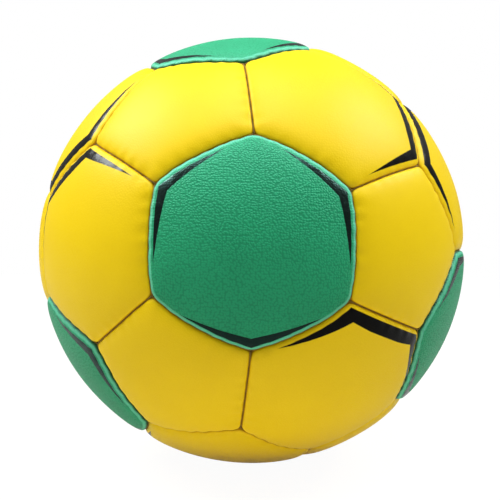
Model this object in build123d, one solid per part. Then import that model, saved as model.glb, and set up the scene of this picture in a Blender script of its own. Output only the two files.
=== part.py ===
from build123d import *

import itertools
import math
import os

# A size 2 handball, sewn by hand from 12 pentagon and 20 hexagon panels round a bladder.
# Each panel is a leather cup with turned-in edges, filled with a foam pad and a cloth lining.
# Neighbouring edges lie back to back, and the thread of each seam shows at the foot of the
# groove between them. The origin is the ball's centre, the front hexagon faces -Y with a
# corner up (+Z), and the valve sits in the hexagon behind it, pointing along +Y.

# Driving dimensions in millimetres
ball_diameter = 175.0
skin_thickness = 1.4
foam_thickness = 2.4
lining_thickness = 1.0
bladder_thickness = 1.0

# Seams: the rolled outer edge, the extra rounding of corners, and the sewing
crown_radius = 2.4
corner_rounding = 0.8
seam_gap = 0.2
thread_diameter = 0.6
thread_clearance = 0.05

# Room between layers that are glued, and round the bladder
glue_gap = 0.1
bladder_gap = 0.3

# Valve: a rubber boot moulded to the bladder, and the plug that the needle goes through
needle_bore_diameter = 2.2
needle_bore_length = 9.0
lead_in_diameter = 3.4
lead_in_depth = 0.8
plug_head_diameter = 7.0
plug_recess = 0.2
plug_stem_diameter = 4.8
plug_tip_thickness = 1.6
boot_wall = 1.8
boot_floor = 1.5
boot_flange_diameter = 26.0
boot_flange_thickness = 1.2
valve_clearance = 0.1

# How far cutters run past what they cut
overrun = 1.0

# Shares: the most of an edge's depth that its roll takes, and of a seam that its thread takes
roll_limit_share = 0.6
thread_span_share = 0.86

# Radii from the ball's centre, from the outside inwards
ball_radius = ball_diameter / 2
skin_inside = ball_radius - skin_thickness
foam_top = skin_inside - glue_gap
foam_base = foam_top - foam_thickness
lining_top = foam_base - glue_gap
edge_base = lining_top - lining_thickness
bladder_radius = edge_base - bladder_gap
bladder_inside = bladder_radius - bladder_thickness

# The roll of a panel's edge, and the thread resting between the rolls of two neighbours
edge_roll = min(crown_radius, roll_limit_share * (ball_radius - edge_base))
corner_radius = edge_roll + corner_rounding
thread_reach = edge_roll + thread_diameter / 2 + thread_clearance
thread_rise = math.sqrt(thread_reach**2 - (edge_roll + seam_gap / 2) ** 2)
thread_radius = ball_radius - edge_roll + thread_rise

# Valve, along its axis from the ball's centre
boot_bore_radius = plug_stem_diameter / 2 + valve_clearance
boot_radius = boot_bore_radius + boot_wall
boot_top = math.sqrt(skin_inside**2 - boot_radius**2) - glue_gap
plug_top = ball_radius - plug_recess
plug_base = plug_top - needle_bore_length - plug_tip_thickness
boot_bore_base = plug_base - valve_clearance
boot_base = boot_bore_base - boot_floor
flange_top = bladder_inside - glue_gap
flange_base = flange_top - boot_flange_thickness

# Angles from a panel's middle to the middles of its edges, and along an edge, where all
# 32 panels have equal edges
golden = (1 + math.sqrt(5)) / 2
hexagon_tilt = math.atan(1 / golden**2)
pentagon_tilt = math.acos(math.sqrt((5 + 2 * math.sqrt(5)) / 15)) - hexagon_tilt
edge_angle = 2 * math.asin(math.sin(hexagon_tilt) / math.sqrt(3 + math.sin(hexagon_tilt) ** 2))


def ball(radius):
    """A sphere whose poles and seam line lie away from the panel being cut out of it."""
    return Sphere(radius, rotation=(0, 90, 0))


def edge_locations(sides, tilt):
    """One place per edge of a panel: X along the seam, Y out through its middle, Z to the neighbour."""
    first = Plane((0, 0, 0), x_dir=(0, 1, 0), z_dir=(math.cos(tilt), 0, -math.sin(tilt)))
    return [Rot(0, 0, 360 * k / sides) * first.location for k in range(sides)]


def wedge(sides, tilt, inset):
    """The space that a panel takes as seen from the ball's centre, its sides moved in by inset."""
    height = ball_radius + overrun
    space = Box(ball_diameter, ball_diameter, height, align=(Align.CENTER, Align.CENTER, Align.MIN))
    for edge in edge_locations(sides, tilt):
        space = split(space, bisect_by=Plane(edge).offset(-inset), keep=Keep.BOTTOM)
    return space


def layer(space, outer, inner):
    """The part of a wedge between two radii."""
    return space & (ball(outer) - ball(inner))


def panel_skin(sides, tilt):
    """A leather cup: crowned outside, with its edges rolled over and turned in."""
    inset = seam_gap / 2
    block = layer(wedge(sides, tilt, inset), ball_radius, edge_base)
    block = fillet(block.edges().filter_by(GeomType.LINE), corner_radius)
    crown = block.faces().filter_by(GeomType.SPHERE).sort_by(SortBy.AREA)[-1]
    block = fillet(crown.edges(), edge_roll)
    return block - (wedge(sides, tilt, inset + skin_thickness) & ball(skin_inside))


def foam_pad(sides, tilt):
    """Padding glued under the skin, between its turned-in edges."""
    return layer(wedge(sides, tilt, seam_gap / 2 + skin_thickness + glue_gap), foam_top, foam_base)


def cloth_lining(sides, tilt):
    """Cloth glued under the foam, flush with the turned-in edges."""
    return layer(wedge(sides, tilt, seam_gap / 2 + skin_thickness + glue_gap), lining_top, edge_base)


def seam_thread():
    """One seam's thread, resting in the groove between the rolled edges of two panels."""
    span = math.degrees(edge_angle) * thread_span_share
    section = Plane.YZ * Pos(thread_radius, 0) * Circle(thread_diameter / 2)
    return Rot(0, 0, -span / 2) * revolve(section, axis=Axis.Z, revolution_arc=span)


def rod(radius, base, top):
    """A round bar on the valve's axis between two heights."""
    return Pos(0, 0, base) * Cylinder(radius, top - base, align=(Align.CENTER, Align.CENTER, Align.MIN))


def hollow_bladder():
    """The air bladder, open where the valve boot comes through."""
    opening = rod(boot_radius + valve_clearance, 0, ball_radius)
    return ball(bladder_radius) - ball(bladder_inside) - opening


def valve_boot():
    """A blind rubber sleeve, with the flange that is glued inside the bladder."""
    flange = (ball(flange_top) - ball(flange_base)) & rod(boot_flange_diameter / 2, 0, ball_radius)
    sleeve = rod(boot_radius, boot_base, boot_top)
    return flange + sleeve - rod(boot_bore_radius, boot_bore_base, ball_radius)


def valve_plug():
    """The plug in the boot: a head flush with the skin, a stem, and the blind hole for the needle."""
    bore_radius = needle_bore_diameter / 2
    head = rod(plug_head_diameter / 2, boot_top + glue_gap, plug_top)
    stem = rod(plug_stem_diameter / 2, plug_base, plug_top)
    bore = rod(bore_radius, plug_top - needle_bore_length, ball_radius)
    mouth = Cone(bore_radius, lead_in_diameter / 2, lead_in_depth, align=(Align.CENTER, Align.CENTER, Align.MAX))
    return head + stem - bore - Pos(0, 0, plug_top) * mouth


def from_front(middle):
    """Sorts panels from the front of the ball to the back, clockwise from the top in each ring."""
    return round(middle.Y, 3), math.degrees(math.atan2(middle.X, middle.Z)) % 360


def panel_middles():
    """Directions of the pentagons and hexagons, turned so that a hexagon faces -Y, a corner up."""
    points = []
    for one, long in itertools.product((1, -1), (golden, -golden)):
        points += [Vector(0, one, long), Vector(one, long, 0), Vector(long, 0, one)]

    def close(group):
        return all(first.get_angle(second) < 90 for first, second in itertools.combinations(group, 2))

    triples = [group for group in itertools.combinations(points, 3) if close(group)]
    front = sum(triples[0], Vector(0, 0, 0)).normalized()
    corner = triples[0][0] * 2 + triples[0][1]
    up = corner - front * corner.dot(front)
    turned = Plane((0, 0, 0), x_dir=up.cross(front), z_dir=up)
    pentagons = [turned.to_local_coords(point.normalized()) for point in points]
    hexagons = [turned.to_local_coords(sum(group, Vector(0, 0, 0)).normalized()) for group in triples]
    return sorted(pentagons, key=from_front), sorted(hexagons, key=from_front)


def neighbours(middle, others):
    """The panels that share a seam with the one at middle."""
    limit = math.degrees(2 * hexagon_tilt) + 1
    return [other for other in others if 1 < middle.get_angle(other) < limit]


def at_panel(middle, beside):
    """Where a panel goes: its own Z out through its middle, its X towards a neighbour."""
    return Plane((0, 0, 0), x_dir=beside, z_dir=middle).location


pentagons, hexagons = panel_middles()
front_panel, back_panel = hexagons[0], hexagons[-1]
at_valve = at_panel(back_panel, neighbours(back_panel, hexagons)[0])

# Green hexagons: the front one, the topmost in the ring beyond its neighbours with the two
# that a third of a turn brings it to, and the four opposite these
ring = [middle for middle in hexagons if -0.5 < middle.Y < 0]
topmost = max(ring, key=lambda middle: middle.Z)
greens = [front_panel] + [topmost.rotate(Axis.Y, 120 * turn) for turn in range(3)]
greens += [green * -1 for green in greens]


def is_green(middle):
    return any(middle.get_angle(green) < 1 for green in greens)


def place(shape, middles):
    """Copies of a panel's piece, one for each of these panels."""
    return [at_panel(middle, neighbours(middle, hexagons)[0]) * shape for middle in middles]


def valve_hole(radius):
    """Room for the valve through the layers of its panel."""
    return at_valve * rod(radius, edge_base - overrun, ball_radius + overrun)


nodes = {}

# Panels: seven green hexagons, the green one with the valve, and all the yellow ones
hexagon_skin = panel_skin(6, hexagon_tilt)
pentagon_skin = panel_skin(5, pentagon_tilt)
green_hexagons = [middle for middle in hexagons[:-1] if is_green(middle)]
yellow_hexagons = [middle for middle in hexagons if not is_green(middle)]
for number, skin in enumerate(place(hexagon_skin, green_hexagons), 1):
    nodes[f"green_hexagon_{number}"] = skin
for number, skin in enumerate(place(hexagon_skin, yellow_hexagons), 1):
    nodes[f"yellow_hexagon_{number}"] = skin
for number, skin in enumerate(place(pentagon_skin, pentagons), 1):
    nodes[f"yellow_pentagon_{number}"] = skin
nodes["valve_panel"] = at_valve * hexagon_skin - valve_hole(plug_head_diameter / 2 + valve_clearance)

# Foam pads and linings, with the valve panel's opened for the boot
boot_hole = valve_hole(boot_radius + valve_clearance)
for name, make in (("foam_pads", foam_pad), ("linings", cloth_lining)):
    pieces = place(make(6, hexagon_tilt), hexagons)
    pieces[-1] = pieces[-1] - boot_hole
    nodes[f"hexagon_{name}"] = Compound(pieces)
    nodes[f"pentagon_{name}"] = Compound(place(make(5, pentagon_tilt), pentagons))

# Threads: one along each seam, between two hexagons or from a hexagon to a pentagon
thread = edge_locations(6, hexagon_tilt)[0] * seam_thread()
hexagon_pairs = [(a, b) for a, b in itertools.combinations(hexagons, 2) if b in neighbours(a, hexagons)]
pentagon_pairs = [(a, b) for a in hexagons for b in neighbours(a, pentagons)]
nodes["hexagon_seam_threads"] = Compound([at_panel(*pair) * thread for pair in hexagon_pairs])
nodes["pentagon_seam_threads"] = Compound([at_panel(*pair) * thread for pair in pentagon_pairs])

# Bladder and valve
nodes["bladder"] = at_valve * hollow_bladder()
nodes["valve_boot"] = at_valve * valve_boot()
nodes["valve_plug"] = at_valve * valve_plug()

os.makedirs("parts", exist_ok=True)
for name, shape in nodes.items():
    export_step(shape, f"parts/{name}.step")

print(f"{len(nodes)} nodes, {ball_diameter * math.pi:.1f} mm round, thread {ball_radius - thread_radius:.2f} mm deep")
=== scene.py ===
# %% [markdown]
# # A hand-sewn handball
# The ball is 32 padded leather panels, sewn edge to edge round an air bladder. The frame gives
# each panel's place and size. This lesson makes the panels soft, adds the stitches and the
# leather, and lights the ball from above on white.

# %% Load the frame
import math

import bpy
import numpy as np
from mathutils import Matrix, Vector, noise
from mathutils.geometry import intersect_line_sphere


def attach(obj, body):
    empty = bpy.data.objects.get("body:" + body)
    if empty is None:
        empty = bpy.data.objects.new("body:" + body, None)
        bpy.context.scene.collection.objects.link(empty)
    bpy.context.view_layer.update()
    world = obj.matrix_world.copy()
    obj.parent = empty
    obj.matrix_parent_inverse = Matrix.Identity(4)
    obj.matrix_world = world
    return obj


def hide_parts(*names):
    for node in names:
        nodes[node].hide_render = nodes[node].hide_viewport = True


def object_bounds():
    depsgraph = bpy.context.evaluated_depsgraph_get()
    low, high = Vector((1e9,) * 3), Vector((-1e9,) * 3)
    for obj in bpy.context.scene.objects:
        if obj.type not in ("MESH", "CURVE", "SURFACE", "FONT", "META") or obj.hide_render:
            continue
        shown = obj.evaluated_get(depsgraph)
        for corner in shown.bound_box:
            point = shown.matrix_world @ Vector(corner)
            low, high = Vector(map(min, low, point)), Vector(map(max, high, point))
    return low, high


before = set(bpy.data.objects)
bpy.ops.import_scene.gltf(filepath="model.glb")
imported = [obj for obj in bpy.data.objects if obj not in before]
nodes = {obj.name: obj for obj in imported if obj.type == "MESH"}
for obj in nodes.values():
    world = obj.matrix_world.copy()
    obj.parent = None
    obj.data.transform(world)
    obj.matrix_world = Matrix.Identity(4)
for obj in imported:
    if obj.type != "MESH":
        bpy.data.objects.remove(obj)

MM = 0.001
cad_low, cad_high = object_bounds()
BALL_RADIUS = max(cad_high - cad_low) / 2
print(f"{len(nodes)} nodes, ball radius {BALL_RADIUS / MM:.1f} mm")

# %% [markdown]
# ## Where the panels are
# A panel has the same shape all round its own middle, so the centre of its surface lies on the
# line from the ball's centre through that middle. Reading it from the frame keeps each soft
# panel exactly over the solid that it stands for.

# %% Read the panels' middles
def middle_of(node):
    """Direction from the ball's centre to the middle of a panel."""
    mesh = nodes[node].data
    places = np.empty(len(mesh.polygons) * 3)
    areas = np.empty(len(mesh.polygons))
    mesh.polygons.foreach_get("center", places)
    mesh.polygons.foreach_get("area", areas)
    return Vector(areas @ places.reshape(-1, 3)).normalized()


hexagons = {name: middle_of(name) for name in nodes if "_hexagon_" in name or name == "valve_panel"}
pentagons = {name: middle_of(name) for name in nodes if "_pentagon_" in name}
panels = {**hexagons, **pentagons}
print(f"{len(hexagons)} hexagons and {len(pentagons)} pentagons")

# %% [markdown]
# ## Which panels are sewn together
# A panel's tilt, the angle from its middle to its edge, follows from the golden ratio. Panels
# share a seam when their middles are at most two hexagon tilts apart, which is quicker to test
# than looking for touching edges.

# %% Find the neighbours
GOLDEN = (1 + math.sqrt(5)) / 2
HEXAGON_TILT = math.atan(1 / GOLDEN**2)
PENTAGON_TILT = math.acos(math.sqrt((5 + 2 * math.sqrt(5)) / 15)) - HEXAGON_TILT
SEAM_SLACK = math.radians(1)


def neighbours(name):
    """Names of the panels that share a seam with this one."""
    limit = math.cos(2 * HEXAGON_TILT + SEAM_SLACK)
    return [other for other in panels if other != name and panels[other].dot(panels[name]) > limit]


print("seams of a panel:", {len(neighbours(name)) for name in panels})

# %% [markdown]
# ## Camera
# The camera looks at the front hexagon from a short distance, almost level. Its place comes from
# fitting the seams' corners to the photograph, and the shift only centres the ball as it is there.
# It comes first, because the sewing below asks what it sees.

# %% Place the camera
AZIMUTH = math.radians(-0.19)
ELEVATION = math.radians(-1.61)
TILT = math.radians(0.64)
DISTANCE = 2.90 * BALL_RADIUS
SENSOR = 36
LENS = 41.71
SHIFT = (-0.0033, 0.0005)
NEAREST = 0.01

flat_share = math.cos(ELEVATION)
back = Vector((math.sin(AZIMUTH) * flat_share, -math.cos(AZIMUTH) * flat_share, math.sin(ELEVATION)))
level_right = Vector((math.cos(AZIMUTH), math.sin(AZIMUTH), 0))
level_up = back.cross(level_right)
right = level_right * math.cos(TILT) + level_up * math.sin(TILT)
up = level_up * math.cos(TILT) - level_right * math.sin(TILT)

bpy.ops.object.select_all(action="DESELECT")
bpy.ops.object.camera_add()
camera = bpy.context.object
camera.name = "camera"
turn = Matrix((right, up, back)).transposed().to_4x4()
camera.matrix_world = Matrix.Translation(back * DISTANCE) @ turn
camera.data.sensor_width = SENSOR
camera.data.lens = LENS
camera.data.shift_x, camera.data.shift_y = SHIFT
camera.data.clip_start = NEAREST
bpy.context.scene.camera = camera
bpy.context.scene.view_settings.view_transform = "Standard"
print("camera at", back * DISTANCE)

# %% [markdown]
# ## A flat panel
# A panel starts as a filled circle of five or six corners. Its fan is subdivided into rows along
# the edges, so that the outer rows can roll over the seam later. An inset for each row would do
# the same with more steps.

# %% Model the flat panels
ROWS = 44


def flat_panel(sides, rows=ROWS):
    """A fan of triangle rows, one unit from its middle to each edge."""
    bpy.ops.object.select_all(action="DESELECT")
    bpy.ops.mesh.primitive_circle_add(
        vertices=sides, radius=1 / math.cos(math.pi / sides), fill_type="TRIFAN", location=(0, 0, 0)
    )
    flat = bpy.context.object
    bpy.ops.object.mode_set(mode="EDIT")
    bpy.ops.mesh.select_all(action="SELECT")
    bpy.ops.mesh.subdivide(number_cuts=rows - 1)
    bpy.ops.object.mode_set(mode="OBJECT")
    print(f"{sides} sides: {len(flat.data.vertices)} points")
    return flat


green_pattern = flat_panel(6)
hexagon_pattern = flat_panel(6)
pentagon_pattern = flat_panel(5)

# %% [markdown]
# ## Across the edge
# The leather rises steeply from the seam, rolls over a foam edge and swells towards the middle.
# Three fading curves give that profile: a steep wall, a roll and a long soft dip. A bevel would
# round the edge but leave the panel flat behind it.

# %% Describe the profile
SEAM_GAP = 0.06 * MM
WALL_DEPTH = 3.9 * MM
STEEP = (1.05 * MM, 0.28 * MM)
ROLL = (0.85 * MM, 1.8 * MM)
DIP_REACH = 6.0 * MM
DIP_POWER = 1.3
WALL_ROWS = 2
EDGE_BAND = 3.0 * MM
ROW_GROWTH = 2.4


def drop(distance, dip):
    """How far the leather lies below the ball's surface at this distance from the seam."""
    depth = sum(fall * np.exp(-distance / fade) for fall, fade in (STEEP, ROLL))
    return depth + dip * np.exp(-((distance / DIP_REACH) ** DIP_POWER))


def profile(rows, reach, dip):
    """Distance from the seam, depth, and place along the leather, for rows counted from the edge."""
    share = np.clip((rows - WALL_ROWS) / (ROWS - WALL_ROWS), 0, 1)
    gap = SEAM_GAP / 2
    distance = gap + EDGE_BAND * share + (reach - gap - EDGE_BAND) * share**ROW_GROWTH
    depth = drop(distance, dip)
    wall = np.clip(1 - rows / WALL_ROWS, 0, 1) * (WALL_DEPTH - depth.max())
    return distance, depth + wall, distance - wall


print(f"at the seam the leather lies {drop(0, 0) / MM:.2f} mm down")

# %% [markdown]
# ## From flat to round
# Each point keeps its direction from the panel's middle and moves along the ball to its own
# distance from the seam. A high power of the shares joins two edges in a slightly round corner.
# Projecting the flat panel straight onto the ball would crowd the outer rows.

# %% Wrap flat points on the ball
CORNER_POWER = 44


def read(mesh, name, field, width):
    """A mesh attribute as rows of numbers."""
    values = np.empty(len(mesh.vertices) * width)
    mesh.attributes[name].data.foreach_get(field, values)
    return values.reshape(-1, width)


def edge_angles(sides):
    """Directions of a flat panel's edges, counted from the corner on +Y."""
    return math.pi / 2 + math.pi / sides + np.arange(sides) * 2 * math.pi / sides


def flat_points(flat, sides):
    """A flat panel's points, their share of the way to each edge, and a share with rounded corners."""
    points = read(flat.data, "position", "vector", 3)[:, :2]
    edges = edge_angles(sides)
    shares = points @ np.stack([np.cos(edges), np.sin(edges)])
    rounded = (np.clip(shares, 0, None) ** CORNER_POWER).sum(1) ** (1 / CORNER_POWER)
    rounded[rounded == 0] = 1
    return points, shares, rounded


def wrap(points, rounded, tilt, distance):
    """Directions from the ball's centre, for flat points moved to a distance from their seam."""
    spread = np.tan(tilt - distance / BALL_RADIUS) / rounded
    out = np.column_stack([points * spread[:, None], np.ones(len(points))])
    return out / np.linalg.norm(out, axis=1)[:, None]


print("a hexagon's edges face", np.degrees(edge_angles(6)).round())

# %% [markdown]
# ## Puckers and creases
# Stitches pull the leather down every few millimetres, and fine creases run in from the seam.
# The pucker is a wave along the edge. Creases are noise that differs from panel to panel, so each
# point only notes where on the seam its noise is taken.

# %% Describe the puckers and creases
STITCHES = 7
EDGE_RISE = math.sin(HEXAGON_TILT)
STITCH_STEP = 2 * math.asin(EDGE_RISE / math.sqrt(3 + EDGE_RISE**2)) / STITCHES
PUCKER_DEPTH = 0.22 * MM
PUCKER_REACH = 2.8 * MM
CREASE_REACH = 4.5 * MM
CORNER_FADE = 4


def pucker(sideways, distance):
    """How far the stitches pull the leather down."""
    pull = 0.5 - 0.5 * np.cos(2 * math.pi * sideways / STITCH_STEP)
    return PUCKER_DEPTH * pull * np.exp(-((distance / PUCKER_REACH) ** 2))


def note(mesh, name, kind, field, values):
    """Stores an attribute on the points."""
    mesh.attributes.new(name, kind, "POINT").data.foreach_set(field, values.ravel())


def note_creases(mesh, nearest, sideways, distance, tilt):
    """Keeps each point's foot on its seam, and how strongly creases from there still show."""
    ahead = math.sin(tilt) * np.cos(sideways)
    foot = np.column_stack(
        [
            ahead * np.cos(nearest) - np.sin(sideways) * np.sin(nearest),
            ahead * np.sin(nearest) + np.sin(sideways) * np.cos(nearest),
            math.cos(tilt) * np.cos(sideways),
        ]
    )
    corner = np.clip(np.abs(sideways) / (STITCHES / 2 * STITCH_STEP), 0, 1)
    strength = np.exp(-((distance / CREASE_REACH) ** 2)) * (1 - corner**CORNER_FADE)
    note(mesh, "foot", "FLOAT_VECTOR", "vector", foot * BALL_RADIUS)
    note(mesh, "crease", "FLOAT", "value", strength)


print(f"a stitch every {STITCH_STEP * BALL_RADIUS / MM:.1f} mm")

# %% [markdown]
# ## Rolled and crowned panels
# Profile and puckers come together in three patterns: a green hexagon, which is filled harder, a
# yellow hexagon and a pentagon. A cloth simulation would hardly move a panel this tight. The
# panel's own map needs the flat points, so it is laid now.

# %% Shape the patterns
UV_SPREAD = 0.36
GREEN_DIP = 0.15 * MM
YELLOW_DIP = 0.35 * MM


def lay_map(mesh, flat):
    """Adds the map that printed stripes and grain follow, with the panel's middle in its middle."""
    mapped = flat * UV_SPREAD + 0.5
    layer = mesh.uv_layers.new(name="Panel")
    corners = np.empty(len(mesh.loops), int)
    mesh.loops.foreach_get("vertex_index", corners)
    layer.data.foreach_set("uv", mapped[corners].ravel())


def shape_panel(flat, sides, tilt, dip):
    """Wraps a flat panel on the ball, with its middle on +Z, and rolls its edges."""
    mesh = flat.data
    points, shares, rounded = flat_points(flat, sides)
    reach = BALL_RADIUS * tilt
    distance, depth, along = profile((1 - shares.max(1)) * ROWS, reach, dip)
    out = wrap(points, rounded, tilt, distance)
    nearest = edge_angles(sides)[shares.argmax(1)]
    sideways = np.arcsin(out[:, 1] * np.cos(nearest) - out[:, 0] * np.sin(nearest))
    depth = depth + pucker(sideways, distance)
    mesh.vertices.foreach_set("co", (out * (BALL_RADIUS - depth)[:, None]).ravel())
    note_creases(mesh, nearest, sideways, distance, tilt)
    note(mesh, "from_seam", "FLOAT", "value", along)
    lay_map(mesh, points * ((1 - along / reach) / rounded)[:, None])
    mesh.update()
    print(f"{sides} sides: crown {depth.min() / MM:.2f} mm and edge {depth.max() / MM:.2f} mm down")


shape_panel(green_pattern, 6, HEXAGON_TILT, GREEN_DIP)
shape_panel(hexagon_pattern, 6, HEXAGON_TILT, YELLOW_DIP)
shape_panel(pentagon_pattern, 5, PENTAGON_TILT, YELLOW_DIP)

# %% [markdown]
# ## The valve panel
# The panel at the back has a hole for the valve. The faces at its middle are deleted, the points
# round the gap move onto a circle, and the rim is pressed in, as on punched leather. A boolean
# cut would leave long thin triangles.

# %% Cut the valve hole
HOLE_RADIUS = 3.6 * MM
HOLE_BLEND = 9.0 * MM
HOLE_PRESS = 0.35 * MM
HOLE_PRESS_REACH = 1.2 * MM


def only(piece):
    """Leaves one object selected and active."""
    bpy.ops.object.select_all(action="DESELECT")
    piece.select_set(True)
    bpy.context.view_layer.objects.active = piece


def copy_of(pattern):
    """A copy in the scene with its own mesh."""
    piece = pattern.copy()
    piece.data = pattern.data.copy()
    bpy.context.collection.objects.link(piece)
    return piece


def cut_hole(piece, radius, press):
    """Opens a round hole at a pattern's middle and presses its rim in."""
    only(piece)
    bpy.ops.object.mode_set(mode="EDIT")
    bpy.ops.mesh.select_mode(type="VERT")
    bpy.ops.mesh.select_all(action="DESELECT")
    bpy.ops.object.mode_set(mode="OBJECT")
    for vertex in piece.data.vertices:
        vertex.select = vertex.co.xy.length < radius
    bpy.ops.object.mode_set(mode="EDIT")
    bpy.ops.mesh.delete(type="VERT")
    bpy.ops.mesh.select_all(action="DESELECT")
    bpy.ops.mesh.select_non_manifold()
    bpy.ops.object.mode_set(mode="OBJECT")
    rim = [v for v in piece.data.vertices if v.select and v.co.xy.length < HOLE_BLEND]
    for vertex in rim:
        vertex.co.xy = vertex.co.xy.normalized() * radius
    for vertex in piece.data.vertices:
        beyond = vertex.co.xy.length - radius
        if beyond < HOLE_BLEND:
            pressed = press * math.exp(-((beyond / HOLE_PRESS_REACH) ** 2))
            vertex.co = vertex.co.normalized() * (vertex.co.length - pressed)
    print(f"{len(rim)} points round the hole")


valve_pattern = copy_of(green_pattern)
cut_hole(valve_pattern, HOLE_RADIUS, HOLE_PRESS)

# %% [markdown]
# ## Leather has two sides
# A Solidify modifier gives the patterns the hide's thickness, inwards, and closes their edges. It
# is applied, so that every copy below carries real leather and not a single surface.

# %% Thicken the patterns
LEATHER = 0.8 * MM


def thicken(piece, thickness):
    """Gives a panel its thickness, inwards, and closes its edges."""
    only(piece)
    wall = piece.modifiers.new("Thickness", "SOLIDIFY")
    wall.thickness = thickness
    wall.offset = -1
    bpy.ops.object.modifier_apply(modifier=wall.name)
    bpy.ops.object.shade_smooth()


patterns = (green_pattern, hexagon_pattern, pentagon_pattern, valve_pattern)
for pattern in patterns:
    thicken(pattern, LEATHER)
print([len(pattern.data.polygons) for pattern in patterns], "faces")

# %% [markdown]
# ## Which way a panel faces
# A pattern's first edge faces a chosen neighbour, because the printed stripes start there. A
# yellow hexagon faces the one yellow hexagon beside it. Where the photograph shows a green
# panel's stripes, the neighbour is chosen to match them.

# %% Turn the panels
GREEN = "green_hexagon_"
SIX = "yellow_hexagon_"
FIVE = "yellow_pentagon_"
FACING = {
    GREEN + "1": FIVE + "1",
    GREEN + "2": SIX + "4",
    GREEN + "3": FIVE + "2",
    GREEN + "4": SIX + "6",
}


def is_green(name):
    return name.startswith(GREEN) or name == "valve_panel"


def facing(name):
    """The neighbour that a panel's first edge faces."""
    if name in FACING:
        return FACING[name]
    beside = neighbours(name)
    if name.startswith(SIX):
        beside = [other for other in beside if other.startswith(SIX)]
    return sorted(beside)[0]


def turned(name):
    """Turns a pattern's +Z to a panel's middle, and its first edge to the neighbour it faces."""
    out = panels[name]
    beside = panels[facing(name)]
    right = (beside - out * beside.dot(out)).normalized()
    up = out.cross(right)
    if name in pentagons:
        right, up = up, -right
    return Matrix((right, up, out)).transposed()


print(sum(map(is_green, panels)), "green panels")

# %% [markdown]
# ## Corners of the seams
# Three panels meet at each corner, as far from each one's middle as its own corners are, so three
# equations give the corner's place. A green panel's corners are drawn in by the thread, which
# makes its outline rounder than a true hexagon.

# %% Find the corners
ROUNDING = 1.2 * MM


def corner_of(three):
    """The place where three panels meet."""
    level = []
    for name in three:
        tilt, sides = (PENTAGON_TILT, 5) if name in pentagons else (HEXAGON_TILT, 6)
        level.append(math.cos(math.atan(math.tan(tilt) / math.cos(math.pi / sides))))
    rows = Matrix([panels[name] for name in three])
    return np.array(rows.inverted() @ Vector(level)) * BALL_RADIUS


def green_corners():
    """Where the green panels' corners are, and which way they are drawn in."""
    places, pulls = [], []
    for green in filter(is_green, panels):
        around = neighbours(green)
        for pentagon in [name for name in around if name in pentagons]:
            for other in [name for name in neighbours(pentagon) if name in around]:
                corner = corner_of((green, pentagon, other))
                inwards = np.array(panels[green]) * BALL_RADIUS - corner
                places.append(corner)
                pulls.append(inwards / np.linalg.norm(inwards) * ROUNDING)
    return np.array(places), np.array(pulls)


GREEN_PLACES, GREEN_PULLS = green_corners()
print(len(GREEN_PLACES), "corners drawn in")

# %% [markdown]
# ## Through a pixel
# The camera's own numbers turn a pixel of the photograph into a ray, and the first point where
# the ray meets a sphere is what shows there. Seams lie a little below the surface, so the sphere
# may be smaller than the ball.

# %% Look through a pixel
PICTURE_SIDE = 500


def seen_at(pixel, below):
    """The point this far below the ball's surface that the camera sees at a pixel."""
    across = pixel[0] / PICTURE_SIDE - 0.5 + camera.data.shift_x
    down = pixel[1] / PICTURE_SIDE - 0.5 - camera.data.shift_y
    ray = (right * across - up * down) * (camera.data.sensor_width / camera.data.lens) - back
    eye = back * DISTANCE
    hits = intersect_line_sphere(eye, eye + ray, Vector(), BALL_RADIUS - below, False)
    return min(hits, key=lambda hit: (hit - eye).length)


print("the picture's middle shows", seen_at((PICTURE_SIDE / 2, PICTURE_SIDE / 2), 0))

# %% [markdown]
# ## Sewn by hand
# A hand-sewn ball is not quite regular. The corners that the photograph shows are moved to where
# they are there, and the leather round them follows, less and less with distance. Solving for
# the pulls together lets every corner land on its place although their reaches overlap.

# %% Settle the corners
ROUNDING_REACH = 5.0 * MM
SEWN_REACH = 12 * MM
SEWN_MOST = 3.0 * MM
SEAM_BELOW = 1.9 * MM
CORNER_PIXELS = {
    (GREEN + "1", FIVE + "3", SIX + "1"): (254, 134),
    (GREEN + "1", FIVE + "3", SIX + "3"): (155, 184),
    (GREEN + "1", SIX + "1", FIVE + "1"): (351, 190),
    (GREEN + "1", SIX + "3", FIVE + "2"): (152, 296),
    (GREEN + "1", FIVE + "1", SIX + "2"): (350, 301),
    (GREEN + "1", FIVE + "2", SIX + "2"): (251, 351),
    (FIVE + "3", SIX + "3", SIX + "6"): (96, 144),
    (FIVE + "3", SIX + "1", GREEN + "4"): (244, 64),
    (SIX + "1", SIX + "4", FIVE + "4"): (396, 103),
    (SIX + "1", FIVE + "1", SIX + "4"): (418, 166),
    (FIVE + "1", SIX + "2", GREEN + "2"): (418, 330),
    (FIVE + "2", SIX + "2", SIX + "5"): (242, 424),
    (FIVE + "2", GREEN + "3", SIX + "5"): (149, 421),
    (SIX + "3", FIVE + "2", GREEN + "3"): (97, 344),
}


def sewn_off(three, pixel):
    """How far a corner was sewn from its even place, as the photograph shows it."""
    seen = np.array(seen_at(pixel, SEAM_BELOW).normalized() * BALL_RADIUS)
    move = seen - corner_of(three)
    return move * min(1, SEWN_MOST / np.linalg.norm(move))


def nearness(points, places, reach):
    """One at each place, fading to nothing within about three times the reach."""
    gaps = ((points[:, None, :] - places[None]) ** 2).sum(2)
    return np.exp(-gaps / (2 * reach**2))


SEWN_PLACES = np.array([corner_of(three) for three in CORNER_PIXELS])
SEWN_MOVES = np.array([sewn_off(three, pixel) for three, pixel in CORNER_PIXELS.items()])
left_over = SEWN_MOVES - nearness(SEWN_PLACES, GREEN_PLACES, ROUNDING_REACH) @ GREEN_PULLS
SEWN_PULLS = np.linalg.solve(nearness(SEWN_PLACES, SEWN_PLACES, SEWN_REACH), left_over)


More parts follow.
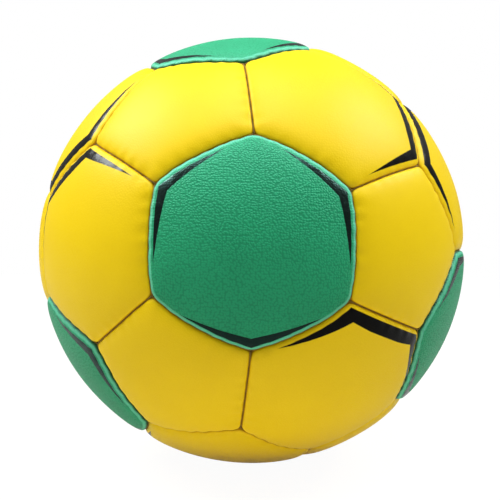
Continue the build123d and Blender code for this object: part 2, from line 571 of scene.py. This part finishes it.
def settle(points):
    """Moves points along the ball as hand sewing did, with the green corners drawn in round."""
    lengths = np.linalg.norm(points, axis=1)[:, None]
    surface = points * (BALL_RADIUS / lengths)
    moved = surface + nearness(surface, GREEN_PLACES, ROUNDING_REACH) @ GREEN_PULLS
    moved += nearness(surface, SEWN_PLACES, SEWN_REACH) @ SEWN_PULLS
    return moved * (lengths / np.linalg.norm(moved, axis=1)[:, None])


print(f"corners moved by up to {np.linalg.norm(SEWN_MOVES, axis=1).max() / MM:.1f} mm")

# %% [markdown]
# ## Yellow beside green
# The green panels stand proud, so the yellow leather beside them lies a little lower, which fades
# with the distance from the green seam. The stitches use the same seam axes later.

# %% Sink the yellow beside green
SINK = 0.40 * MM
SINK_REACH = 4.0 * MM


def seam_axes(first, second):
    """Along a seam, out through its middle, and across it from one panel to the next."""
    tilt = PENTAGON_TILT if first in pentagons else HEXAGON_TILT
    out = panels[first]
    beside = (panels[second] - out * panels[second].dot(out)).normalized()
    middle = out * math.cos(tilt) + beside * math.sin(tilt)
    across = beside * math.cos(tilt) - out * math.sin(tilt)
    return middle.cross(across), middle, across


def sunk(points):
    """How far yellow leather lies lower beside a green panel."""
    out = points / np.linalg.norm(points, axis=1)[:, None]
    away = []
    for green in filter(is_green, panels):
        across = np.array([seam_axes(green, other)[2] for other in neighbours(green)])
        away.append((out @ across.T).max(1))
    away = np.clip(np.min(away, axis=0), 0, None) * BALL_RADIUS
    return SINK * np.exp(-((away / SINK_REACH) ** DIP_POWER))


print(f"yellow lies up to {SINK / MM:.1f} mm lower")

# %% [markdown]
# ## Panels on the ball
# Every panel is a copy with its own mesh, turned to its place and settled there. Noise, different
# for each panel, swells the leather unevenly and draws the creases. Sculpting would do this by
# hand, but not the same way each time.

# %% Place the panels
UNEVEN = 0.16 * MM
UNEVEN_SIZE = 22 * MM
CREASE = 0.16 * MM
CREASE_SIZE = 2.6 * MM
SEED_STEP = (3.7, 1.9)


def pattern_for(name):
    if name == "valve_panel":
        return valve_pattern
    if is_green(name):
        return green_pattern
    return pentagon_pattern if name in pentagons else hexagon_pattern


def place_panel(name, number):
    """Copies a panel to its place, with its own unevenness."""
    piece = copy_of(pattern_for(name))
    piece.name = f"{name}_leather"
    mesh = piece.data
    turn = np.array(turned(name)).T
    places = read(mesh, "position", "vector", 3) @ turn
    feet = read(mesh, "foot", "vector", 3) @ turn / CREASE_SIZE
    strength = read(mesh, "crease", "value", 1)[:, 0]
    seed = Vector((number * SEED_STEP[0], number * SEED_STEP[1], 0))
    swell = UNEVEN * np.array([noise.noise(Vector(place) + seed) for place in places / UNEVEN_SIZE])
    swell += CREASE * strength * np.array([noise.noise(Vector(foot) + seed) for foot in feet])
    if not is_green(name):
        swell -= sunk(places)
    places = settle(places) * (1 + swell / BALL_RADIUS)[:, None]
    mesh.vertices.foreach_set("co", places.ravel())
    for extra in ("foot", "crease"):
        mesh.attributes.remove(mesh.attributes[extra])
    mesh.update()
    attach(piece, "root")
    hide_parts(name)
    return piece


leathers = {name: place_panel(name, number) for number, name in enumerate(sorted(panels))}
for pattern in patterns:
    bpy.data.objects.remove(pattern)
print(f"{len(leathers)} leather panels")

# %% [markdown]
# ## Foam pads
# Under each skin lies a foam pad of the same outline, a little smaller. It follows the leather
# above it, so it is wrapped from the same flat panel with fewer rows and thickened inwards. The
# pad under the valve has a hole for the boot.

# %% Shape the foam
PAD_ROWS = 10
PAD_INSET = 1.1 * MM
PAD_GAP = 0.15 * MM
PAD_FOOT = 3.8 * MM
PAD_HOLE_RADIUS = 4.5 * MM


def pad_pattern(sides, tilt, hole=False):
    """A pad to copy from, with its middle on +Z."""
    flat = flat_panel(sides, PAD_ROWS)
    points, shares, rounded = flat_points(flat, sides)
    distance = PAD_INSET + (BALL_RADIUS * tilt - PAD_INSET) * (1 - shares.max(1))
    depth = drop(distance, YELLOW_DIP) + PUCKER_DEPTH + LEATHER + PAD_GAP
    places = wrap(points, rounded, tilt, distance) * (BALL_RADIUS - depth)[:, None]
    flat.data.vertices.foreach_set("co", places.ravel())
    if hole:
        cut_hole(flat, PAD_HOLE_RADIUS, 0)
    thicken(flat, PAD_FOOT - depth.min() - SINK)
    return flat


hexagon_pad = pad_pattern(6, HEXAGON_TILT)
valve_pad = pad_pattern(6, HEXAGON_TILT, hole=True)
pentagon_pad = pad_pattern(5, PENTAGON_TILT)

# %% [markdown]
# ## Pads under the panels
# A pad is copied under every panel and settles with it, so that no foam shows through a seam. The
# copies of one shape are joined, as the frame keeps them in one node for each shape.

# %% Lay the pads
def lay_pads(title, patterns, node):
    """Copies a pad under each of these panels and joins the copies."""
    copies = []
    for name, pattern in patterns.items():
        pad = copy_of(pattern)
        places = read(pad.data, "position", "vector", 3) @ np.array(turned(name)).T
        if not is_green(name):
            places *= (1 - sunk(places) / BALL_RADIUS)[:, None]
        pad.data.vertices.foreach_set("co", settle(places).ravel())
        copies.append(pad)
    only(copies[0])
    for pad in copies:
        pad.select_set(True)
    bpy.ops.object.join()
    piece = bpy.context.object
    piece.name = title
    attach(piece, "root")
    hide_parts(node)
    print(title, len(piece.data.polygons), "faces")
    return piece


under_hexagons = {name: valve_pad if name == "valve_panel" else hexagon_pad for name in hexagons}
under_pentagons = dict.fromkeys(pentagons, pentagon_pad)
hexagon_pads = lay_pads("hexagon_pads", under_hexagons, "hexagon_foam_pads")
pentagon_pads = lay_pads("pentagon_pads", under_pentagons, "pentagon_foam_pads")
for pattern in (hexagon_pad, valve_pad, pentagon_pad):
    bpy.data.objects.remove(pattern)

# %% [markdown]
# ## One stitch
# The thread shows only at the foot of a seam, as short slanting lengths between two holes. One
# stitch is a thin cylinder with drawn-in ends, slightly bowed. A curve with a round bevel would
# give the same shape with many more faces.

# %% Model one stitch
THREAD_RADIUS = 0.25 * MM
STITCH_LENGTH = 4.9 * MM
THREAD_SIDES = 6
STITCH_BOW = 0.15 * MM
STITCH_CUTS = (-0.43, 0, 0.43)
END_SHARE = 0.99
DRAWN_IN = 0.5


def one_stitch():
    """A stitch along X, with its middle at the origin."""
    bpy.ops.object.select_all(action="DESELECT")
    bpy.ops.mesh.primitive_cylinder_add(
        vertices=THREAD_SIDES, radius=THREAD_RADIUS, depth=STITCH_LENGTH, location=(0, 0, 0)
    )
    stitch = bpy.context.object
    stitch.rotation_euler.y = math.pi / 2
    bpy.ops.object.transform_apply(location=False, rotation=True, scale=False)
    bpy.ops.object.mode_set(mode="EDIT")
    for cut in STITCH_CUTS:
        bpy.ops.mesh.select_all(action="SELECT")
        bpy.ops.mesh.bisect(plane_co=(cut * STITCH_LENGTH, 0, 0), plane_no=(1, 0, 0))
    bpy.ops.object.mode_set(mode="OBJECT")
    for vertex in stitch.data.vertices:
        share = 2 * vertex.co.x / STITCH_LENGTH
        if abs(share) > END_SHARE:
            vertex.co.yz *= DRAWN_IN
        vertex.co.y -= STITCH_BOW * share**2
    print("one stitch:", len(stitch.data.polygons), "faces")
    return stitch


stitch = one_stitch()

# %% [markdown]
# ## Sewing the seams
# The stitch is copied seven times along each seam, where the rolls of two neighbours meet, and
# settles as the leather did. The copies go straight into one mesh for each kind of seam, because
# joining hundreds of objects would be slow.

# %% Sew the seams
STITCH_SLANT = math.radians(3)
STITCH_DEPTH = 1.95 * MM


def sew(name, pairs, stitch):
    """One piece with every stitch of these seams."""
    base = [vertex.co for vertex in stitch.data.vertices]
    faces = [tuple(face.vertices) for face in stitch.data.polygons]
    points, loops = [], []
    slant = Matrix.Rotation(STITCH_SLANT, 3, "Y")
    raised = Vector((0, BALL_RADIUS - STITCH_DEPTH, 0))
    for first, second in pairs:
        axes = Matrix(seam_axes(first, second)).transposed()
        for k in range(STITCHES):
            angle = STITCH_STEP * (k - (STITCHES - 1) / 2)
            swing = Matrix.Rotation(-angle, 3, "Z")
            start = len(points)
            points += [axes @ (swing @ (slant @ place + raised)) for place in base]
            loops += [[start + corner for corner in face] for face in faces]
    mesh = bpy.data.meshes.new(name)
    mesh.from_pydata(settle(np.array(points)), [], loops)
    piece = bpy.data.objects.new(name, mesh)
    bpy.context.collection.objects.link(piece)
    only(piece)
    bpy.ops.object.shade_smooth()
    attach(piece, "root")
    return piece


hexagon_seams = [(a, b) for a in hexagons for b in neighbours(a) if b in hexagons and a < b]
pentagon_seams = [(a, b) for a in pentagons for b in neighbours(a)]
hexagon_stitches = sew("hexagon_seam_stitches", hexagon_seams, stitch)
pentagon_stitches = sew("pentagon_seam_stitches", pentagon_seams, stitch)
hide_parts("hexagon_seam_threads")
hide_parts("pentagon_seam_threads")
bpy.data.objects.remove(stitch)
print(f"{len(hexagon_seams) + len(pentagon_seams)} seams sewn")

# %% [markdown]
# ## Shader helpers
# Materials are built from nodes in code. Small helpers add a node with its inputs filled or
# linked, and start a group with named sockets, so each finish below stays short.

# %% Write the node helpers
def wire(tree, kind, inputs=None, **settings):
    """Adds a node, sets its options, fills or links its inputs, and returns its outputs."""
    node = tree.nodes.new("ShaderNode" + kind)
    for name, value in settings.items():
        setattr(node, name, value)
    for key, value in (inputs or {}).items():
        if isinstance(value, bpy.types.NodeSocket):
            tree.links.new(value, node.inputs[key])
        else:
            node.inputs[key].default_value = value
    return node.outputs


def sums(tree, operation, *values, clamp=False):
    """A Math node on numbers or sockets."""
    return wire(tree, "Math", dict(enumerate(values)), operation=operation, use_clamp=clamp)[0]


def ramp(tree, value, span, result=(0.0, 1.0), smooth=False):
    """A value mapped from one span to another."""
    inputs = {0: value, 1: span[0], 2: span[1], 3: result[0], 4: result[1]}
    kind = "SMOOTHSTEP" if smooth else "LINEAR"
    return wire(tree, "MapRange", inputs, interpolation_type=kind)[0]


def new_group(name, inputs, outputs):
    """A node group with number sockets; returns its tree, its inputs and its outputs."""
    tree = bpy.data.node_groups.new(name, "ShaderNodeTree")
    for title, value in inputs.items():
        socket = tree.interface.new_socket(title, in_out="INPUT", socket_type="NodeSocketFloat")
        socket.default_value = value
    for title in outputs:
        tree.interface.new_socket(title, in_out="OUTPUT", socket_type="NodeSocketFloat")
    return tree, tree.nodes.new("NodeGroupInput").outputs, tree.nodes.new("NodeGroupOutput").inputs


print("node helpers ready")

# %% [markdown]
# ## Leather grain
# The coated leather is embossed with small round pebbles, about three quarters of a millimetre
# across. A flat Voronoi texture on the panel's own map gives cells of that size, each with its
# middle on the surface, and noise moves them so they don't look laid out. Solid cells would leave
# bare spots.

# %% Build the grain
GRAIN_INPUTS = {"Cells": 112.0, "Waver": 0.014}
CELL_SMOOTHNESS = 0.12
CELL_RANDOMNESS = 0.74
DRIFT = {"Scale": 260.0, "Detail": 2.0}
FINE = {"Scale": 5200.0, "Detail": 1.0}
FINE_SHARE = 0.12
DOME_SPAN = (0.62, 0.05)
VALLEY_SPAN = (0.36, 0.62)


def build_grain():
    """Height of the pebbles, and one in the valleys between them."""
    tree, given, result = new_group("PebbleGrain", GRAIN_INPUTS, ["Height", "Valley"])
    place = wire(tree, "TexCoord")["Object"]
    uv = wire(tree, "UVMap", uv_map="Panel")[0]
    drift = wire(tree, "TexNoise", {"Vector": place, **DRIFT})["Color"]
    shift = wire(tree, "VectorMath", {0: drift, "Scale": given["Waver"]}, operation="SCALE")[0]
    moved = wire(tree, "VectorMath", {0: uv, 1: shift}, operation="ADD")[0]
    cells = {"Vector": moved, "Scale": given["Cells"]}
    cells.update({"Smoothness": CELL_SMOOTHNESS, "Randomness": CELL_RANDOMNESS})
    options = {"voronoi_dimensions": "2D", "feature": "SMOOTH_F1"}
    outwards = wire(tree, "TexVoronoi", cells, **options)["Distance"]
    fine = wire(tree, "TexNoise", {"Vector": place, **FINE})[0]
    dome = ramp(tree, outwards, DOME_SPAN, smooth=True)
    tree.links.new(sums(tree, "MULTIPLY_ADD", fine, FINE_SHARE, dome), result["Height"])
    tree.links.new(ramp(tree, outwards, VALLEY_SPAN, smooth=True), result["Valley"])
    return tree


grain = build_grain()
print("grain group with", len(grain.nodes), "nodes")

# %% [markdown]
# ## How a stripe is drawn
# Black stripes are printed inside the seams, and they taper to a point. They are drawn in the
# panel's own map, where one unit runs from the middle to an edge, so they follow the leather. A
# painted image would blur close up, while distances from the edges stay sharp.

# %% Write the stripe helpers
SOFT_EDGE = 0.007
STRIPE_INPUTS = {"Turn": 0.0, "Inset": 0.065, "Width": 0.1, "Length": 0.8}


def panel_map(tree, turn):
    """The panel's own map from its middle, turned so that one corner or edge lies on +X."""
    uv = wire(tree, "UVMap", uv_map="Panel")[0]
    middle = wire(tree, "VectorMath", {0: uv, 1: (0.5, 0.5, 0.0)}, operation="SUBTRACT")[0]
    scaled = wire(tree, "VectorMath", {0: middle, "Scale": 1 / UV_SPREAD}, operation="SCALE")[0]
    undone = sums(tree, "MULTIPLY", turn, -1.0)
    spun = wire(tree, "VectorRotate", {"Vector": scaled, "Angle": undone}, rotation_type="Z_AXIS")[0]
    parts = wire(tree, "SeparateXYZ", {0: spun})
    return parts[0], sums(tree, "ABSOLUTE", parts[1])


def from_edge(tree, x, y, along_x, along_y):
    """Distance inwards from an edge whose outward direction is (along_x, along_y)."""
    leaning = sums(tree, "MULTIPLY_ADD", x, -along_x, 1.0)
    return sums(tree, "MULTIPLY_ADD", y, -along_y, leaning)


def taper(tree, near, far, width, length):
    """The stripe's width, which shrinks to nothing along the near edge, away from the far one."""
    leaning = sums(tree, "MULTIPLY_ADD", near, -0.5, far)
    along = sums(tree, "DIVIDE", leaning, math.sin(math.pi / 3))
    left = sums(tree, "SUBTRACT", 1.0, sums(tree, "DIVIDE", along, length))
    return sums(tree, "MULTIPLY", width, sums(tree, "MINIMUM", left, 1.0))


def stripe_between(tree, near, inset, width):
    """One where the distance from the edge lies in the stripe, with a soft printed edge."""
    start = sums(tree, "DIVIDE", sums(tree, "SUBTRACT", near, inset), SOFT_EDGE, clamp=True)
    reach = sums(tree, "SUBTRACT", sums(tree, "ADD", inset, width), near)
    stop = sums(tree, "DIVIDE", reach, SOFT_EDGE, clamp=True)
    return sums(tree, "MULTIPLY", start, stop)


print(f"a stripe's edge is {SOFT_EDGE * BALL_RADIUS * HEXAGON_TILT / MM:.1f} mm soft")

# %% [markdown]
# ## Arrows and brackets
# A green panel has an arrow at every second corner, and a yellow hexagon has a bracket round one
# edge. Both measure from two edges that meet, and mirroring Y draws both sides at once.

# %% Build the stripes
COS_30 = math.cos(math.pi / 6)


def build_stripe(name, near_edge, far_edge, both):
    """Ink beside one edge, or beside both, that gets narrower away from the other one."""
    tree, given, result = new_group(name, STRIPE_INPUTS, ["Ink"])
    x, y = panel_map(tree, given["Turn"])
    near = from_edge(tree, x, y, *near_edge)
    far = from_edge(tree, x, y, *far_edge)
    width = taper(tree, near, far, given["Width"], given["Length"])
    if both:
        near = sums(tree, "MINIMUM", near, far)
    tree.links.new(stripe_between(tree, near, given["Inset"], width), result["Ink"])
    return tree


arrow = build_stripe("CornerArrow", (COS_30, 0.5), (COS_30, -0.5), both=False)
bracket = build_stripe("EdgeBracket", (0.5, COS_30), (1.0, 0.0), both=True)
print("stripe groups with", len(arrow.nodes), "and", len(bracket.nodes), "nodes")

# %% [markdown]
# ## Turned edges
# Where the leather turns in at a seam, the fold is painted darker, which is painted shade, and
# the roll beside it is painted paler, which is painted sheen. Both follow the distance from the
# seam, which each panel carries as an attribute, so one group can serve every leather.

# %% Build the turned edge
# Widths of the painted shade in the fold and the painted sheen on the roll.
EDGE_INPUTS = {"Fold": 0.06 * MM, "Roll": 1.0 * MM}
EDGE_FADES = {"Fold": 4.0, "Roll": 1.5}


def build_edge():
    """Masks for painted shade at the turned-in edge and painted sheen on the rolled edge, each fading
    over a few times its own width.
    """
    tree, given, result = new_group("TurnedEdge", EDGE_INPUTS, list(EDGE_INPUTS))
    away = wire(tree, "Attribute", attribute_name="from_seam")["Fac"]
    for part, fade in EDGE_FADES.items():
        end = sums(tree, "MULTIPLY", given[part], fade)
        tree.links.new(ramp(tree, away, (given[part], end), (1.0, 0.0), smooth=True), result[part])
    return tree


turned_edge = build_edge()
print("edge group with", len(turned_edge.nodes), "nodes")

# %% [markdown]
# ## Ink
# Ink covers the dye in the stripes with its own gloss, and it fills the grain there. A stripe's
# mask therefore mixes three things at once: the colour, the roughness and the height that the
# bump is made from.

# %% Write the ink and material helpers
INK = (0.004, 0.0038, 0.0036, 1)
INK_ROUGH = 0.23
INK_FILL = 0.60
INK_LEVEL = 0.5


def blend(tree, share, first, second, kind="RGBA"):
    """A colour mixed from two by a share, or a number where the kind is FLOAT."""
    return wire(tree, "Mix", {"Factor": share, "A": first, "B": second}, data_type=kind)["Result"]


def use_group(tree, group, **inputs):
    """Places a group in a material with its own values."""
    node = tree.nodes.new("ShaderNodeGroup")
    node.node_tree = group
    for name, value in inputs.items():
        node.inputs[name].default_value = value
    return node.outputs


def new_material(name, **settings):
    """A material, its node tree and its shader, with constants on the shader's own sockets."""
    made = bpy.data.materials.new(name)
    made.use_nodes = True
    shader = made.node_tree.nodes["Principled BSDF"]
    for title, value in settings.items():
        shader.inputs[title.replace("_", " ")].default_value = value
    return made, made.node_tree, shader.inputs


def dress(tree, shader, colour, height, depth, strength=1.0):
    """Gives a shader its colour, and its normal from a height through a bump."""
    bump = wire(tree, "Bump", {"Height": height, "Strength": strength, "Distance": depth})[0]
    tree.links.new(colour, shader["Base Color"])
    tree.links.new(bump, shader["Normal"])


def printed(tree, stripes, colour, gloss, height):
    """Lays ink in the stripes, over a colour, a roughness and a height."""
    ink = None
    for group, turn, inset, width, length in stripes:
        mark = use_group(tree, group, Turn=turn, Inset=inset, Width=width, Length=length)["Ink"]
        ink = mark if ink is None else sums(tree, "MAXIMUM", ink, mark)
    if ink is None:
        return colour, gloss, height
    filled = sums(tree, "MULTIPLY", ink, INK_FILL)
    return (
        blend(tree, ink, colour, INK),
        blend(tree, ink, gloss, INK_ROUGH, "FLOAT"),
        blend(tree, filled, height, INK_LEVEL, "FLOAT"),
    )


print("ink fills", INK_FILL, "of the grain")

# %% [markdown]
# ## Leather
# Both leathers are the same coated hide with the same grain, pressed deep on green and faint on
# yellow. The dye varies a little over a panel, and the valleys are darker, partly from dye that
# gathers there and partly as painted shade in the hollows. The grain is far too fine for a mesh,
# so it goes through a Bump node.

# %% Make the leathers
GRAIN_DEPTH = 0.22 * MM
CLOUDS = {"Scale": 70.0, "Detail": 3.0}
CLOUD_SPAN = (0.35, 0.75)
CLOUD_SHARE = 0.2
GLOSS_SPAN = (0.2, 1.1)
VALLEY_DULLER = 0.1
CREST_GLOSSIER = 0.04


# Darker valleys are partly gathered dye and partly painted shade in the hollows between pebbles.
def leather(name, stripes, dyes, pressed, shine, tint, rough, fold_shade_width, roll_width):
    """Coated leather with printed stripes."""
    made, tree, shader = new_material(name, Specular_IOR_Level=shine, Specular_Tint=tint)
    place = wire(tree, "TexCoord")["Object"]
    pebbles = use_group(tree, grain)
    edge = use_group(tree, turned_edge, Fold=fold_shade_width, Roll=roll_width)
    cloudy = wire(tree, "TexNoise", {"Vector": place, **CLOUDS})[0]
    clouds = ramp(tree, cloudy, CLOUD_SPAN, (0.0, CLOUD_SHARE))
    gathered_and_shaded = sums(tree, "MULTIPLY_ADD", pebbles["Valley"], pressed, clouds, clamp=True)
    colour = blend(tree, gathered_and_shaded, dyes["crest"], dyes["valley_dye_and_shade"])
    colour = blend(tree, edge["Roll"], colour, dyes["roll"])
    gloss = ramp(tree, pebbles["Height"], GLOSS_SPAN, (rough + VALLEY_DULLER, rough - CREST_GLOSSIER))
    colour, gloss, height = printed(tree, stripes, colour, gloss, pebbles["Height"])
    colour = blend(tree, edge["Fold"], colour, dyes["fold_shade"])
    tree.links.new(gloss, shader["Roughness"])
    dress(tree, shader, colour, height, GRAIN_DEPTH, pressed)
    return made


# The fold colours are painted shade in the seam, and the green roll colour is painted sheen.
GREEN_COAT = {
    "dyes": {
        "crest": (0.012, 0.36, 0.155, 1),
        "valley_dye_and_shade": (0.005, 0.20, 0.080, 1),
        "roll": (0.11, 0.55, 0.35, 1),
        "fold_shade": (0.002, 0.055, 0.015, 1),
    },
    "pressed": 0.50,
    "shine": 0.85,
    "tint": (0.35, 1.0, 0.85, 1),
    "rough": 0.48,
    "fold_shade_width": 0.18 * MM,
    "roll_width": 1.25 * MM,
}
YELLOW_COAT = {
    "dyes": {
        "crest": (0.89, 0.61, 0.002, 1),
        "valley_dye_and_shade": (0.80, 0.51, 0.001, 1),
        "roll": (0.89, 0.61, 0.002, 1),
        "fold_shade": (0.50, 0.235, 0.002, 1),
    },
    "pressed": 0.11,
    "shine": 0.17,
    "tint": (1, 1, 1, 1),
    "rough": 0.42,
    "fold_shade_width": 0.14 * MM,
    "roll_width": 1.0 * MM,
}
ARROW_SHAPE = (0.135, 0.85)
ARROW_INSETS = {30: 0.07, 150: 0.07, 270: 0.05}
ARROWS = [(arrow, math.radians(turn), inset, *ARROW_SHAPE) for turn, inset in ARROW_INSETS.items()]
BRACKET = (bracket, 0.0, 0.065, 0.138, 0.97)
FAR_BRACKET = (bracket, math.pi, 0.048, 0.145, 0.93)

green_leather = leather("green_leather", ARROWS, **GREEN_COAT)
yellow_leather = leather("yellow_leather", [BRACKET], **YELLOW_COAT)
turned_leather = leather("yellow_leather_turned", [FAR_BRACKET], **YELLOW_COAT)
plain_leather = leather("yellow_leather_plain", [], **YELLOW_COAT)
print("green leather has", len(green_leather.node_tree.nodes), "nodes")

# %% [markdown]
# ## Leather on the panels
# A pentagon is plain, and a yellow hexagon has its bracket at the edge that faces its yellow
# neighbour or, on a few, at the far edge. Yellow leathers differ only in print and share a slot.

# %% Put the leather on
TURNED = [SIX + number for number in ("2", "5", "7", "12")]


def leather_for(name):
    if is_green(name):
        return green_leather
    if name in pentagons:
        return plain_leather
    return turned_leather if name in TURNED else yellow_leather


for name, piece in leathers.items():
    piece.data.materials.clear()
    piece.data.materials.append(leather_for(name))
print("leather on", len(leathers))

# %% [markdown]
# ## Thread, rubber and foam
# The rest of the ball hides under the skin, apart from the thread and the valve, but it is
# finished too: twisted waxed thread, moulded rubber with a dusty bloom and closed-cell foam with
# pores. One texture drives both the colour and the bump of each.

# %% Make the thread, the rubbers and the foam
def speckled(name, first, second, size, rough, strength, depth, kind="TexNoise"):
    """A finish whose colour and bump follow one texture."""
    made, tree, shader = new_material(name, Roughness=rough)
    place = wire(tree, "TexCoord")["Object"]
    marks = wire(tree, kind, {"Vector": place, "Scale": size})[0]
    dress(tree, shader, blend(tree, marks, first, second), marks, depth, strength)
    return made


# Two colours, then the texture's scale, the roughness, and the bump's strength and depth
SPECKLES = {
    "waxed_thread": ((0.20, 0.12, 0.012, 1), (0.32, 0.20, 0.03, 1), 2600.0, 0.7, 0.6, 0.1 * MM),
    "bladder_rubber": ((0.015, 0.015, 0.015, 1), (0.05, 0.05, 0.048, 1), 120.0, 0.6, 0.2, 0.3 * MM),
    "valve_rubber": ((0.012, 0.012, 0.012, 1), (0.03, 0.03, 0.03, 1), 900.0, 0.5, 0.3, 0.1 * MM),
    "foam": ((0.55, 0.54, 0.50, 1), (0.75, 0.74, 0.70, 1), 1500.0, 0.95, 0.7, 0.3 * MM, "TexVoronoi"),
}
speckles = {name: speckled(name, *values) for name, values in SPECKLES.items()}
print("finishes:", list(speckles))

# %% [markdown]
# ## Lining cloth
# The lining is a plain-woven cotton. Two crossed sets of waves stand for the warp and the weft,
# and the higher of the two shows. Modelled threads would need millions of faces.

# %% Weave the lining
CLOTH_COLOUR = (0.72, 0.70, 0.64, 1)
CLOTH_SHADE = (0.45, 0.43, 0.38, 1)
CLOTH_ROUGH = 0.9
CLOTH_DEPTH = 0.1 * MM
CLOTH_PITCH = 500.0


def woven(name):
    """A plain weave of two crossed sets of waves."""
    made, tree, shader = new_material(name, Roughness=CLOTH_ROUGH)
    waves = {"Vector": wire(tree, "TexCoord")["Object"], "Scale": CLOTH_PITCH}
    warp = wire(tree, "TexWave", waves, bands_direction="X")[1]
    weft = wire(tree, "TexWave", waves, bands_direction="Z")[1]
    cloth = sums(tree, "MAXIMUM", warp, weft)
    dress(tree, shader, blend(tree, cloth, CLOTH_SHADE, CLOTH_COLOUR), cloth, CLOTH_DEPTH)
    return made


lining = woven("lining_cloth")
print("woven:", lining.name)

# %% [markdown]
# ## Finishes on the inner pieces
# The stitches and the pads are new and have no material yet. The other inner pieces are the
# frame's own solids, so their finish goes into the slot that each of them already has.

# %% Put the inner finishes on
for piece in (hexagon_stitches, pentagon_stitches):
    piece.data.materials.append(speckles["waxed_thread"])
for piece in (hexagon_pads, pentagon_pads):
    piece.data.materials.append(speckles["foam"])
FINISHES = {
    "hexagon_linings": lining,
    "pentagon_linings": lining,
    "bladder": speckles["bladder_rubber"],
    "valve_boot": speckles["bladder_rubber"],
    "valve_plug": speckles["valve_rubber"],
}
for name, finish in FINISHES.items():
    nodes[name].material_slots[0].material = finish
print("finishes on", len(FINISHES), "inner pieces")

# %% [markdown]
# ## The white floor
# The ball stands on white. The camera sees a glow over most of the floor's paint, which still
# takes a little of the ball's shadow. The leather gets only what the paint sends back, which is
# warm and weaker in front of the ball, and it mirrors a dimmer floor there too.

# %% Lay the floor
FLOOR_SIDE = 8
FLOOR_SHARE = 0.90
FLOOR_GLOW = (1.065, 1.115)
FLOOR_REACH = (0.25, 0.9)
FRONT_PAINT = (0.55, 0.51, 0.45, 1)
FLOOR_PAINT = (0.88, 0.82, 0.72, 1)
PAINT_REACH = (-0.16, -0.02)
FLOOR_GLEAM = (0.15, 0.75)
GLEAM_REACH = (-0.10, 0.05)


def white_floor():
    """White for the camera, dimmer in reflections, and paint for other light."""
    made, tree, _ = new_material("white_floor")
    tree.nodes.remove(tree.nodes["Principled BSDF"])
    place = wire(tree, "TexCoord")["Object"]
    deep = wire(tree, "SeparateXYZ", {0: place})["Y"]
    colour = blend(tree, ramp(tree, deep, PAINT_REACH), FRONT_PAINT, FLOOR_PAINT)
    paint = wire(tree, "BsdfDiffuse", {"Color": colour})[0]
    away = wire(tree, "VectorMath", {0: place}, operation="LENGTH")["Value"]
    bright = ramp(tree, away, FLOOR_REACH, FLOOR_GLOW)
    gleam = ramp(tree, deep, GLEAM_REACH, FLOOR_GLEAM)
    rays = wire(tree, "LightPath")
    strength = blend(tree, rays["Is Glossy Ray"], bright, gleam, "FLOAT")
    glow = wire(tree, "Emission", {"Strength": strength})[0]
    seen = sums(tree, "MAXIMUM", rays["Is Camera Ray"], rays["Is Transmission Ray"])
    share = sums(tree, "MULTIPLY", sums(tree, "MAXIMUM", seen, rays["Is Glossy Ray"]), FLOOR_SHARE)
    mixed = wire(tree, "MixShader", {0: share, 1: paint, 2: glow})[0]
    tree.links.new(mixed, tree.nodes["Material Output"].inputs["Surface"])
    return made


bpy.ops.object.select_all(action="DESELECT")
bpy.ops.mesh.primitive_plane_add(size=FLOOR_SIDE, location=(0, 0, cad_low.z))
floor = bpy.context.object
floor.name = "floor"
floor.data.materials.append(white_floor())
print("floor at", round(cad_low.z / MM, 1), "mm")

# %% [markdown]
# ## The surroundings
# The camera sees pure white all round. Soft reflections see a share of it, mostly from behind,
# where the bright background is, and the light that reaches the leather from around stays low, so
# that the lamps shape it.

# %% Set the world
AMBIENT = 0.10
ROOM = 0.08
BEHIND_REACH = (-0.3, 0.6)
GLOSS_SHARE = 0.15

world = bpy.data.worlds.new("studio")
world.use_nodes = True
bpy.context.scene.world = world
tree = world.node_tree
towards = wire(tree, "SeparateXYZ", {0: wire(tree, "TexCoord")["Generated"]})
behind = ramp(tree, towards["Y"], BEHIND_REACH, (ROOM, 1.0), smooth=True)
rays = wire(tree, "LightPath")
white = sums(tree, "MAXIMUM", behind, rays["Is Camera Ray"])
straight = sums(tree, "MAXIMUM", rays["Is Camera Ray"], rays["Is Transmission Ray"])
glossy = sums(tree, "MULTIPLY", rays["Is Glossy Ray"], GLOSS_SHARE)
share = sums(tree, "MAXIMUM", straight, glossy)
level = blend(tree, share, AMBIENT, white, "FLOAT")
sky = tree.nodes["Background"]
sky.inputs["Color"].default_value = (1, 1, 1, 1)
tree.links.new(level, sky.inputs["Strength"])
print("world has", len(tree.nodes), "nodes")

# %% [markdown]
# ## Lamps
# Two soft boxes hang high at the left and the right, which gives the two broad highlights on the
# upper panels, and one large panel overhead fills between them. Their light is a little cool
# beside the warm floor's. The front stays in soft shade.

# %% Hang the lamps
KEY_COLOUR = (0.94, 1.0, 0.99)
# Place, size and power
LAMPS = {
    "left_box": ((-0.66, -0.06, 0.70), 0.40, 8.0),
    "right_box": ((0.66, -0.04, 0.72), 0.40, 6.2),
    "overhead_panel": ((0.0, -0.34, 0.92), 0.60, 9.2),
}


def soft_box(name, place, size, power):
    """A square lamp that points at the ball's centre."""
    bpy.ops.object.select_all(action="DESELECT")
    bpy.ops.object.light_add(type="AREA", location=place)
    lamp = bpy.context.object
    lamp.name = name
    lamp.rotation_euler = (-Vector(place)).to_track_quat("-Z", "Y").to_euler()
    lamp.data.size = size
    lamp.data.energy = power
    lamp.data.color = KEY_COLOUR


for name, values in LAMPS.items():
    soft_box(name, *values)
print(len(LAMPS), "soft boxes")
